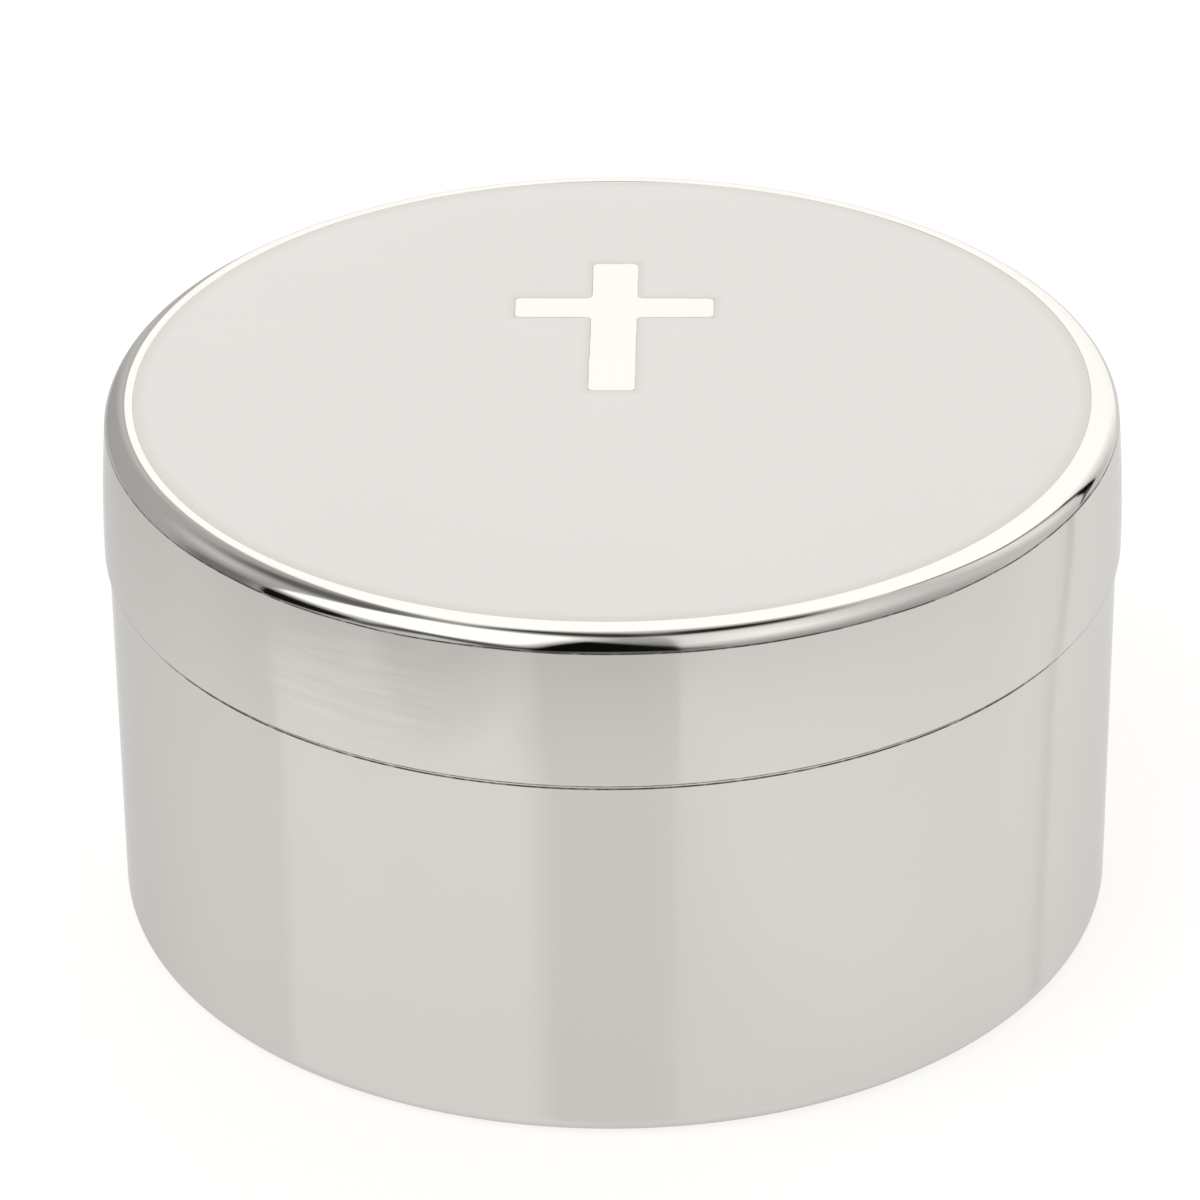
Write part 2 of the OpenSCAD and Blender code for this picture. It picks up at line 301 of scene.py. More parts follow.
def feed(tree, socket, value):
    """Link an output to the socket, or set the socket to a value."""
    if isinstance(value, bpy.types.NodeSocket):
        tree.links.new(value, socket)
    else:
        socket.default_value = value


def math_node(tree, operation, a, b=None, clamp=False):
    """A Math node fed with sockets or numbers. Returns its output."""
    node = tree.nodes.new("ShaderNodeMath")
    node.operation = operation
    node.use_clamp = clamp
    feed(tree, node.inputs[0], a)
    if b is not None:
        feed(tree, node.inputs[1], b)
    return node.outputs[0]


def plus(tree, a, b, gain, clamp=False):
    """The sum of a and gain times b, as an output socket."""
    return math_node(tree, "ADD", a, math_node(tree, "MULTIPLY", b, gain), clamp)


def vector_node(tree, operation, a, b=None):
    """A Vector Math node fed with sockets or vectors. Returns its output, a number for a length or a dot product."""
    node = tree.nodes.new("ShaderNodeVectorMath")
    node.operation = operation
    feed(tree, node.inputs[0], a)
    if b is not None:
        feed(tree, node.inputs[1], b)
    return node.outputs["Value" if operation in {"LENGTH", "DOT_PRODUCT"} else "Vector"]


def parts(tree, vector):
    """The X, Y and Z outputs of a vector."""
    node = tree.nodes.new("ShaderNodeSeparateXYZ")
    tree.links.new(vector, node.inputs[0])
    return node.outputs


def level_vector(tree, x, y):
    """A vector from two sockets or numbers, with no height."""
    node = tree.nodes.new("ShaderNodeCombineXYZ")
    feed(tree, node.inputs["X"], x)
    feed(tree, node.inputs["Y"], y)
    return node.outputs[0]


def ramp(tree, value, start, end, low_value=0.0, high_value=1.0):
    """Value smoothly mapped from start..end to low_value..high_value. Returns the output socket."""
    node = tree.nodes.new("ShaderNodeMapRange")
    node.interpolation_type = "SMOOTHSTEP"
    node.inputs["From Min"].default_value = start
    node.inputs["From Max"].default_value = end
    node.inputs["To Min"].default_value = low_value
    node.inputs["To Max"].default_value = high_value
    tree.links.new(value, node.inputs["Value"])
    return node.outputs["Result"]


def mix(tree, factor, a, b):
    """A colour mix. Factor is a socket, a and b are sockets or colours. Returns the output socket."""
    node = tree.nodes.new("ShaderNodeMix")
    node.data_type = "RGBA"
    tree.links.new(factor, node.inputs[0])
    for socket, value in ((node.inputs[6], a), (node.inputs[7], b)):
        feed(tree, socket, value if isinstance(value, bpy.types.NodeSocket) else (*value, 1.0))
    return node.outputs[2]


def noise_node(tree, vector, scale, detail, roughness):
    """A Noise Texture on the given vector. Scale is one number, or one for each axis. Returns its value."""
    if isinstance(scale, tuple):
        vector, scale = vector_node(tree, "MULTIPLY", vector, scale), 1.0
    node = tree.nodes.new("ShaderNodeTexNoise")
    node.inputs["Scale"].default_value = scale
    node.inputs["Detail"].default_value = detail
    node.inputs["Roughness"].default_value = roughness
    tree.links.new(vector, node.inputs["Vector"])
    return node.outputs["Fac"]


def bump(tree, shader, height, distance, strength=1.0):
    """Let the height, in units of the distance, tilt the surface that the shader sees."""
    node = tree.nodes.new("ShaderNodeBump")
    node.inputs["Strength"].default_value = strength
    node.inputs["Distance"].default_value = distance
    tree.links.new(height, node.inputs["Height"])
    tree.links.new(node.outputs[0], shader.inputs["Normal"])


def new_material(name):
    """A material with its Principled BSDF, and the object's own coordinates."""
    material = bpy.data.materials.new(name)
    material.use_nodes = True
    tree = material.node_tree
    tree.nodes.clear()
    shader = tree.nodes.new("ShaderNodeBsdfPrincipled")
    output = tree.nodes.new("ShaderNodeOutputMaterial")
    tree.links.new(shader.outputs[0], output.inputs["Surface"])
    where = tree.nodes.new("ShaderNodeTexCoord").outputs["Object"]
    return material, tree, shader, where


def cylinder_group():
    """Distance from the upright axis, and height."""

    def build(tree, inside, outside):
        split = parts(tree, inside["Point"])
        flat = level_vector(tree, split["X"], split["Y"])
        tree.links.new(vector_node(tree, "LENGTH", flat), outside["Radius"])
        tree.links.new(split["Z"], outside["Height"])

    return group("Round the axis", build, {"Point": (0, 0, 0)}, {"Radius": 0.0, "Height": 0.0})


def polish_group():
    """What handling leaves on bright metal: waves of the thin sheet, hairlines, dull patches and faint stains."""

    def build(tree, inside, outside):
        point = inside["Point"]
        waves = noise_node(tree, point, (60, 60, 22), 1.5, 0.4)
        dents = noise_node(tree, point, 210.0, 1.0, 0.4)
        hair_a = noise_node(tree, point, (9000, 900, 700), 2.0, 0.6)
        hair_b = noise_node(tree, point, (800, 8000, 1500), 2.0, 0.6)
        scratch = math_node(tree, "ADD", ramp(tree, hair_a, 0.68, 0.76), ramp(tree, hair_b, 0.7, 0.78), True)
        bend = math_node(tree, "MULTIPLY", plus(tree, waves, dents, 0.06), inside["Waves"])
        tree.links.new(plus(tree, bend, scratch, -0.0012), outside["Height"])
        dull = ramp(tree, noise_node(tree, point, 75.0, 4.0, 0.6), 0.42, 0.72)
        dull = math_node(tree, "MAXIMUM", dull, math_node(tree, "MULTIPLY", scratch, 0.8))
        tree.links.new(dull, outside["Dull"])
        specks = ramp(tree, noise_node(tree, point, 1500.0, 2.0, 0.7), 0.74, 0.8)
        spots = ramp(tree, noise_node(tree, point, 120.0, 5.0, 0.65), 0.62, 0.78, 0.0, 0.5)
        tree.links.new(math_node(tree, "MAXIMUM", specks, spots), outside["Stain"])

    return group(
        "Handled polish", build, {"Point": (0, 0, 0), "Waves": 1.0}, {"Height": 0.0, "Dull": 0.0, "Stain": 0.0},
    )


def painted_reflection_group():
    """Where the metal is painted lighter as a painted reflection: streaks in a patch about the given place, with long
    low waves in them.
    """

    def build(tree, inside, outside):
        point = inside["Point"]
        off = vector_node(tree, "DIVIDE", vector_node(tree, "SUBTRACT", point, inside["Centre"]), inside["Reach"])
        ragged = math_node(tree, "MULTIPLY", noise_node(tree, point, 260.0, 2.0, 0.5), 0.5)
        patch = ramp(tree, math_node(tree, "ADD", vector_node(tree, "LENGTH", off), ragged), 1.25, 0.75)
        long = noise_node(tree, point, (95, 95, 1500), 3.0, 0.5)
        fine = noise_node(tree, point, (320, 320, 4200), 2.0, 0.5)
        streaks = plus(tree, long, fine, 0.25)
        tree.links.new(math_node(tree, "MULTIPLY", patch, ramp(tree, streaks, 0.5, 0.74)), outside["Mask"])

    return group(
        "Cloth smear", build, {"Point": (0, 0, 0), "Centre": (0, 0, 0), "Reach": (0.01, 0.01, 0.01)}, {"Mask": 0.0},
    )


def band_group():
    """One inside a band about the given value, fading out over the given softness."""

    def build(tree, inside, outside):
        away = math_node(tree, "ABSOLUTE", math_node(tree, "SUBTRACT", inside["Value"], inside["Middle"]))
        past = math_node(tree, "SUBTRACT", away, inside["Half Width"])
        part = math_node(tree, "DIVIDE", past, inside["Softness"], True)
        tree.links.new(math_node(tree, "SUBTRACT", 1.0, part, True), outside["Mask"])

    return group(
        "Soft band", build, {"Value": 0.0, "Middle": 0.0, "Half Width": 0.001, "Softness": 0.001}, {"Mask": 0.0},
    )


def tarnish_and_shade_mask(tree, where, height, seams):
    """Where the seams are painted dark, as an output socket: painted shade with some tarnishing. The line of a seam may
    wander.
    """
    tarnish_and_shade = None
    for middle, half, soft, wander in seams:
        line = height
        if wander:
            sway = math_node(tree, "SUBTRACT", noise_node(tree, where, 65.0, 2.0, 0.5), 0.5)
            line = plus(tree, height, sway, wander)
        mask = place(tree, band_group(), line, Middle=middle, Half__Width=half, Softness=soft)["Mask"]
        tarnish_and_shade = mask if tarnish_and_shade is None else math_node(tree, "MAXIMUM", tarnish_and_shade, mask)
    return tarnish_and_shade


def plate_material(name, finish, seams, rough, waves, spun=0.0, painted_reflections=()):
    """Mirror-polished plate. Seams are (height, half width, softness, wander) of the grooves painted dark with painted
    shade and some tarnishing, and painted reflections are (centre, reach) of patches where the plate is painted
    lighter. Spun is the depth of the turning marks."""
    material, tree, shader, where = new_material(name)
    axis = place(tree, cylinder_group(), where)
    polish = place(tree, polish_group(), where, Waves=waves)
    tarnish_and_shade = tarnish_and_shade_mask(tree, where, axis["Height"], seams)
    tint = mix(tree, math_node(tree, "MULTIPLY", polish["Stain"], 0.07), tuple(finish.plate), STAIN_COLOUR)
    # Painted reflection: the plate is painted lighter in each patch of streaks.
    for centre, reach in painted_reflections:
        painted_reflection = place(tree, painted_reflection_group(), where, Centre=centre, Reach=reach)["Mask"]
        tint = mix(tree, painted_reflection, tint, tuple(min(1.0, PAINTED_REFLECTION_GAIN * c) for c in finish.plate))
    dull = ramp(tree, polish["Dull"], 0.0, 1.0, rough, rough + DULL_PATCHES)
    if tarnish_and_shade is not None:
        broken = ramp(tree, noise_node(tree, where, 900.0, 3.0, 0.6), 0.3, 0.55, 0.55, 1.0)
        # Painted shade, with some tarnishing, darkens the seams and the lid's crease, broken up a little.
        tint = mix(tree, math_node(tree, "MULTIPLY", tarnish_and_shade, broken), tint, tuple(finish.tarnish_and_seam_shade))
        dull = plus(tree, dull, tarnish_and_shade, 0.25)
    tree.links.new(tint, shader.inputs["Base Color"])
    tree.links.new(dull, shader.inputs["Roughness"])
    shader.inputs["Metallic"].default_value = 1.0
    shader.inputs["Specular Tint"].default_value = GRAZING_TINT
    height = polish["Height"]
    if spun:
        rings = noise_node(tree, axis["Radius"], 5200.0, 2.0, 0.6)
        height = plus(tree, height, rings, spun)
    bump(tree, shader, height, 0.1 * MM)
    return material


def cross_group():
    """Distance from a plain cross in the flat of the lid."""

    def build(tree, inside, outside):
        def off_bar(y, half_x, half_y):
            split = parts(tree, vector_node(tree, "SUBTRACT", inside["Point"], level_vector(tree, 0.0, y)))
            past = []
            for socket, half in ((split["X"], half_x), (split["Y"], half_y)):
                out = math_node(tree, "SUBTRACT", math_node(tree, "ABSOLUTE", socket), half)
                past.append(math_node(tree, "MAXIMUM", out, 0.0))
            return vector_node(tree, "LENGTH", level_vector(tree, *past))

        head, foot = inside["Head"], inside["Foot"]
        middle = math_node(tree, "MULTIPLY", math_node(tree, "ADD", head, foot), 0.5)
        half = math_node(tree, "MULTIPLY", math_node(tree, "SUBTRACT", head, foot), 0.5)
        upright = off_bar(middle, inside["Half Upright"], half)
        across = off_bar(inside["Crossing"], inside["Arm"], inside["Half Bar"])
        tree.links.new(math_node(tree, "MINIMUM", upright, across), outside["Distance"])

    sizes = dict.fromkeys(("Head", "Foot", "Crossing", "Arm", "Half Upright", "Half Bar"), 0.0)
    return group("Off the cross", build, {"Point": (0, 0, 0), **sizes}, {"Distance": 0.0})


def enamel_material(top, finish):
    """Off-white enamel, ground flush and polished, a little darker where it thins beside the metal, darker and warmer
    towards the ring, and with a ring of painted shade round the cross.
    """
    material, tree, shader, where = new_material("enamel_cream")
    from_axis = place(tree, cylinder_group(), where)["Radius"]
    from_cross = place(
        tree, cross_group(), where, Head=top.cross_y + top.cross_arm, Foot=top.cross_end, Crossing=top.cross_y,
        Arm=top.cross_arm, Half__Upright=top.upright / 2, Half__Bar=top.bar / 2,
    )["Distance"]
    rim = ramp(tree, from_axis, top.enamel_r - 1.1 * MM, top.enamel_r - 0.1 * MM, 0.0, 0.45)
    line = ramp(tree, from_axis, top.enamel_r - 0.09 * MM, top.enamel_r - 0.03 * MM, 0.0, 0.55)
    # Painted shade: the enamel is painted darker in a ring round the cross.
    painted_cross_shade = ramp(tree, from_cross, 0.75 * MM, 0.05 * MM, 0.0, 0.4)
    rule = ramp(tree, from_cross, 0.09 * MM, 0.04 * MM, 0.0, 0.85)
    edge = math_node(tree, "MAXIMUM", math_node(tree, "MAXIMUM", rim, line), math_node(tree, "MAXIMUM", painted_cross_shade, rule))
    cloud = ramp(tree, noise_node(tree, where, 45.0, 3.0, 0.5), 0.3, 0.7)
    base = mix(tree, cloud, tuple(finish.enamel), tuple(0.985 * c for c in finish.enamel))
    pits = ramp(tree, noise_node(tree, where, 2100.0, 2.0, 0.6), 0.755, 0.8, 0.0, 0.35)
    base = mix(tree, pits, base, PIT_COLOUR)
    tree.links.new(mix(tree, edge, base, tuple(finish.enamel_edge_and_shade)), shader.inputs["Base Color"])
    rough = ramp(tree, noise_node(tree, where, 160.0, 4.0, 0.6), 0.35, 0.75, 0.16, 0.24)
    tree.links.new(rough, shader.inputs["Roughness"])
    shader.inputs["IOR"].default_value = 1.5
    peel = math_node(tree, "ADD", noise_node(tree, where, 700.0, 2.0, 0.5), noise_node(tree, where, 130.0, 1.0, 0.5))
    bump(tree, shader, peel, 0.01 * MM)
    return material


def velvet_material(finish):
    """Short dark blue pile, brushed this way and that, painted lighter in patches where the pile would catch the light:
    a painted sheen.
    """
    material, tree, shader, where = new_material("blue_velvet")
    brushed = ramp(tree, noise_node(tree, where, 85.0, 3.0, 0.55), 0.35, 0.7)
    pile = noise_node(tree, where, 5200.0, 2.0, 0.7)
    streak = noise_node(tree, where, (1500, 350, 600), 3.0, 0.6)
    lit = math_node(tree, "MULTIPLY", ramp(tree, pile, 0.35, 0.75), ramp(tree, brushed, 0.0, 1.0, 0.25, 0.75))
    lit = plus(tree, lit, ramp(tree, streak, 0.5, 0.75), 0.15, True)
    # Painted sheen: the pile is painted lighter where it would catch the light.
    tree.links.new(mix(tree, lit, tuple(finish.velvet), tuple(finish.painted_pile_sheen)), shader.inputs["Base Color"])
    shader.inputs["Roughness"].default_value = 0.95
    shader.inputs["Specular IOR Level"].default_value = 0.15
    shader.inputs["Sheen Weight"].default_value = 0.55
    shader.inputs["Sheen Roughness"].default_value = 0.35
    shader.inputs["Sheen Tint"].default_value = (0.35, 0.45, 0.95, 1.0)
    bump(tree, shader, plus(tree, pile, brushed, 0.6), 0.12 * MM, 0.8)
    return material


def card_material(finish):
    """Grey-brown board with short fibres."""
    material, tree, shader, where = new_material("lining_board")
    fibre = noise_node(tree, where, (900, 2600, 900), 4.0, 0.65)
    dark, pale = (tuple(gain * c for c in finish.card) for gain in (0.8, 1.15))
    tree.links.new(mix(tree, ramp(tree, fibre, 0.35, 0.7), dark, pale), shader.inputs["Base Color"])
    shader.inputs["Roughness"].default_value = 0.9
    bump(tree, shader, fibre, 0.05 * MM)
    return material


# Profiles


def base_profile(m):
    """Outline of the drawn base, from the middle of its underside round to the middle of its floor."""
    foot_out, foot_in = m.base_r - m.base_corner, m.base_r - m.base_corner - m.foot
    inner, inner_bend = m.base_r - m.sheet, m.base_corner - m.sheet
    under = softened(
        [(0.0, m.floor_rise), (foot_in - m.floor_slope, m.floor_rise), (foot_in, 0.0), (foot_out, 0.0)], 0.6 * MM,
    )
    outside = under[:-1] + arc((foot_out, m.base_corner), m.base_corner, -90, 0, 4.0)
    rim = arc((m.base_r - m.rim_edge, m.base_h - m.rim_edge), m.rim_edge, 0, 90, 12.0)
    inside = [(inner, m.base_h)] + arc((inner - inner_bend, m.sheet + inner_bend), inner_bend, 0, -90, 10.0)
    raised = m.sheet + m.floor_rise
    top = softened([inside[-1], (foot_in, m.sheet), (foot_in - m.floor_slope, raised), (0.0, raised)], 0.6 * MM)
    return supported(outside + rim + inside + top[1:])


def neck_profile(m):
    """Outline of the neck ring, rounded inwards at its top."""
    outer, inner = m.base_r - m.sheet, m.base_r - m.sheet - m.neck_t
    top, foot = high("neck_ring").z, low("neck_ring").z
    lead = arc((outer - m.neck_lead, top - m.neck_lead), m.neck_lead, 0, 90, 10.0)
    return supported([(inner, foot), (outer, foot)] + lead + [(inner, top), (inner, foot)])[:-1]


def wall_arc(m):
    """Centre and radius of the arc in which the lid's wall leans in between its edge and the crown."""
    rise = m.lid_top - m.crown_h - m.base_h
    radius = (rise**2 + m.lid_lean**2) / (2 * m.lid_lean)
    return Vector((m.lid_r - radius, m.base_h)), radius


def crown_points(m):
    """The lid's crown, an arc from the flat ring down to the crease where it meets the wall."""
    slant = math.atan2(m.crown_h, m.crown_w)
    radius = math.hypot(m.crown_w, m.crown_h) / (2 * math.sin(slant - m.crown_tilt))
    ring_r = m.lid_r - m.lid_lean - m.crown_w
    centre = (ring_r - radius * math.sin(m.crown_tilt), m.lid_top - radius * math.cos(m.crown_tilt))
    start = math.degrees(math.pi / 2 - m.crown_tilt)
    return arc(centre, radius, start, start - 2 * math.degrees(slant - m.crown_tilt), 1.0)


def lid_profile(m, top):
    """Outline of the drawn lid, from the middle of its recess out over the crown and back under its deck."""
    deck = top.enamel_low - m.sheet
    recess = [(0.0, top.enamel_low), (top.enamel_r, top.enamel_low)]
    lip = arc((top.enamel_r + top.bevel, m.lid_top - top.bevel), top.bevel, 180, 90, 15.0)
    crown = crown_points(m)
    centre, radius = wall_arc(m)
    lean = math.degrees(math.asin((crown[-1][1] - m.base_h) / radius))
    below = arc(centre, radius, lean - 0.02, lean)[0]
    wall = [below] + arc(centre, radius, lean, 0, 0.16)[1:-1]
    hem = arc((m.lid_r - m.rim_edge, m.base_h + m.rim_edge), m.rim_edge, 0, -90, 12.0)
    reach, rise = radius - m.sheet - m.lid_inner, deck - m.lid_inner - m.base_h
    join = math.degrees(math.asin(rise / reach))
    bend_at = centre + Vector((math.sqrt(reach**2 - rise**2), rise))
    inside = arc(centre, radius - m.sheet, 0, join, 0.16) + arc(bend_at, m.lid_inner, join, 90, 10.0)[1:]
    flat = supported(recess + lip + crown[:1], least=0.3 * MM)
    return flat + crown[1:] + wall + hem + inside[:-1] + supported([inside[-1], (0.0, deck)])


# Pieces


class RosaryBoxBase(bpy.types.Operator):
    """Turn the base and its neck from their profiles and polish them."""

    bl_idname = "rosary_box.base"
    bl_label = "Base and Neck"

    def execute(self, context):
        m, finish = context.scene.rosary_metal, context.scene.rosary_finish
        # Painted shade, with some tarnishing, on the base's wall just under the lid's rim.
        seam = (m.base_h - 0.27 * MM, 0.04 * MM, 0.05 * MM, 0.0)
        plate = plate_material("polished_plate_base", finish, [seam], 0.07, finish.waviness * 0.6, 0.0012)
        cup = new_object("base_cup", lathe(base_profile(m)), plate)
        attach(cup, "base")
        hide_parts("base_shell")
        # Painted shade, with some tarnishing, on the neck at the height of the base's rim.
        neck_plate = plate_material("polished_plate_neck", finish, [(m.base_h, 0.05 * MM, 0.25 * MM, 0.0)], 0.1, 0.1)
        neck = new_object("neck_collar", lathe(neck_profile(m)), neck_plate)
        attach(neck, "base")
        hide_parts("neck_ring")
        return {"FINISHED"}


# Painted reflections on the lid's wall, patches of lighter streaks as (centre, reach): in front to the left, and at the
# back.
LID_PAINTED_REFLECTIONS = [((-0.0165, -0.031, 0.032), (0.0095, 0.007, 0.0048)), ((0.02, 0.0285, 0.032), (0.008, 0.006, 0.004))]


class RosaryBoxLid(bpy.types.Operator):
    """Turn the lid from its profile and polish it."""

    bl_idname = "rosary_box.lid"
    bl_label = "Lid"

    def execute(self, context):
        m, finish = context.scene.rosary_metal, context.scene.rosary_finish
        # Painted shade, with some tarnishing, at the lid's lower edge and along the crease under the crown.
        seam = (m.base_h + 0.02 * MM, 0.06 * MM, 0.08 * MM, 0.0)
        crease = (crown_points(m)[-1][1], 0.02 * MM, 0.06 * MM, 0.3 * MM)
        plate = plate_material("polished_plate_lid", finish, [seam, crease], 0.03, finish.waviness, painted_reflections=LID_PAINTED_REFLECTIONS)
        lid = new_object("lid_cup", lathe(lid_profile(m, context.scene.rosary_top)), plate)
        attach(lid, "lid")
        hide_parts("lid_shell")
        return {"FINISHED"}


# Waver of the hand-filed outline of the cross, the distance over which it changes, and the step between its points.
WAVER, WAVER_LENGTH, FILED_STEP = 0.045 * MM, 1.9 * MM, 0.35 * MM


def cross_loop(top, grow=0.0):
    """Outline of the cross in the flat of the lid, with rounded ends, filleted inner corners and the slight waver of a
    hand-filed edge. Grow moves it outwards."""
    half_u, half_b = top.upright / 2 + grow, top.bar / 2 + grow
    head, foot, arm = top.cross_arm + grow, top.cross_y - top.cross_end + grow, top.cross_arm + grow
    corners = [
        (half_u, half_b, 0), (half_u, head, 1), (-half_u, head, 1), (-half_u, half_b, 0), (-arm, half_b, 1),
        (-arm, -half_b, 1), (-half_u, -half_b, 0), (-half_u, -foot, 1), (half_u, -foot, 1), (half_u, -half_b, 0),
        (arm, -half_b, 1), (arm, half_b, 1),
    ]
    outer, inner = top.corner + grow, max(top.fillet - grow, 0.02 * MM)
    points = [(x, y) for x, y, _ in corners]
    radii = [outer if out else inner for _, _, out in corners]
    ring = softened([points[-1], *points, points[0]], [0.0, *radii, 0.0], 12.0)[1:-1]
    fine = []
    for a, b in zip(ring, ring[1:] + ring[:1]):
        a, b = Vector(a), Vector(b)
        count = max(1, round((b - a).length / FILED_STEP))
        fine += [a.lerp(b, i / count) for i in range(count)]
    out = []
    for i, p in enumerate(fine):
        along = (fine[(i + 1) % len(fine)] - fine[i - 1]).normalized()
        waver = WAVER * noise(Vector((p.x / WAVER_LENGTH, p.y / WAVER_LENGTH, 3.7)))
        out.append(Vector((p.x + along.y * waver, p.y - along.x * waver + top.cross_y)))
    return out


def loop_verts(bm, points, z):
    """Vertices of a closed loop at one height."""
    return [bm.verts.new((p[0], p[1], z)) for p in points]


def bridge(bm, first, second):
    """Quads between two loops of as many points."""
    count = len(first)
    for i in range(count):
        bm.faces.new((first[i], first[(i + 1) % count], second[(i + 1) % count], second[i]))


def ring_edges(bm, loop):
    """The edges of a closed loop of vertices, made where they are missing."""
    edges = []
    for a, b in zip(loop, loop[1:] + loop[:1]):
        edges.append(bm.edges.get((a, b)) or bm.edges.new((a, b)))
    return edges


class RosaryBoxEnamel(bpy.types.Operator):
    """Fill the recess of the lid with enamel round the cross."""

    bl_idname = "rosary_box.enamel"
    bl_label = "Enamel and Cross"

    def execute(self, context):
        m, top, finish = context.scene.rosary_metal, context.scene.rosary_top, context.scene.rosary_finish
        self.fill(m, top, finish)
        self.cross(m, top, finish)
        return {"FINISHED"}

    def fill(self, m, top, finish):
        """The enamel, which sinks a little beside the ring and the cross."""
        bm = bmesh.new()
        angles = [math.tau * i / TURN_STEPS for i in range(TURN_STEPS)]

        def circle(r):
            return [(r * math.cos(a), r * math.sin(a)) for a in angles]

        def side(near, far):
            foot = loop_verts(bm, near, top.enamel_low)
            edge = loop_verts(bm, near, m.lid_top - top.sink)
            halfway = [(Vector(a) + Vector(b)) / 2 for a, b in zip(near, far)]
            middle = loop_verts(bm, halfway, m.lid_top - top.sink * 0.3)
            flat = loop_verts(bm, far, m.lid_top)
            bridge(bm, foot, edge)
            bridge(bm, edge, middle)
            bridge(bm, middle, flat)
            return foot, flat

        ring_foot, ring_flat = side(circle(top.enamel_r), circle(top.enamel_r - top.lip))
        hole_foot, hole_flat = side(cross_loop(top), cross_loop(top, top.lip))
        for pair in ((ring_flat, hole_flat), (ring_foot, hole_foot)):
            edges = ring_edges(bm, pair[0]) + ring_edges(bm, pair[1])
            bmesh.ops.triangle_fill(bm, use_beauty=True, use_dissolve=False, edges=edges)
        enamel = new_object("enamel_disc", bm, enamel_material(top, finish))
        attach(enamel, "lid")
        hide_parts("enamel_fill")

    def cross(self, m, top, finish):
        """The cross, with a worn edge."""
        bm = bmesh.new()
        foot = loop_verts(bm, cross_loop(top), top.enamel_low)
        edge = loop_verts(bm, cross_loop(top), m.lid_top - top.bevel)
        half = top.bevel * 0.3
        worn = loop_verts(bm, cross_loop(top, -half), m.lid_top - half)
        flat = loop_verts(bm, cross_loop(top, -top.bevel), m.lid_top)
        inner = loop_verts(bm, cross_loop(top, -top.bevel - 0.05 * MM), m.lid_top)
        for first, second in ((foot, edge), (edge, worn), (worn, flat), (flat, inner)):
            bridge(bm, first, second)
        for loop in (foot, inner):
            bmesh.ops.triangle_fill(bm, use_beauty=True, use_dissolve=False, edges=ring_edges(bm, loop))
        plate = plate_material("polished_plate_cross", finish, [], 0.04, 0.05)
        cross = new_object("cross_plate", bm, plate)
        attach(cross, "lid")
        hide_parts("cross_inlay")


def pad_profile(lining, radius, back, crown, fall):
    """Closed outline of a pad, from the middle of its crown over its shoulder and under its card to the middle of its
    back. Back and crown are heights, and the crown may be the lower one."""
    shoulder, velvet = lining.shoulder, lining.velvet_t
    way = 1.0 if crown > back else -1.0
    thick = abs(crown - back)
    flat = radius - velvet - shoulder
    arc_r = (shoulder**2 + fall**2) / (2 * fall) + velvet
    centre = Vector((flat, thick - arc_r))
    edge = velvet + 0.35 * MM
    across, reach = radius - edge - centre.x, arc_r - edge
    knee = Vector((radius - edge, centre.y + math.sqrt(reach**2 - across**2)))
    join = math.degrees(math.atan2(knee.y - centre.y, knee.x - centre.x))
    upper = [(flat * i / 14, thick) for i in range(14)] + arc(centre, arc_r, 90, join, 0.6)
    upper += arc(knee, edge, join, 0, 10.0)[1:]
    lower = arc((radius - velvet, velvet), velvet, 0, -90, 15.0) + [(radius * 0.5, 0.0), (0.0, 0.0)]
    return [(r, back + way * z) for r, z in upper + lower]


# The velvet: its dip at the sewn joint and that dip's width, its ripples elsewhere and their width, and how often and
# how deeply it is gathered round a pad.
JOINT_DIP, JOINT_WIDTH = 0.16 * MM, 0.5 * MM
RIPPLE, RIPPLE_WIDTH = 0.07 * MM, 6 * MM
PUCKERS, PUCKER_DEPTH = 38, 0.07 * MM


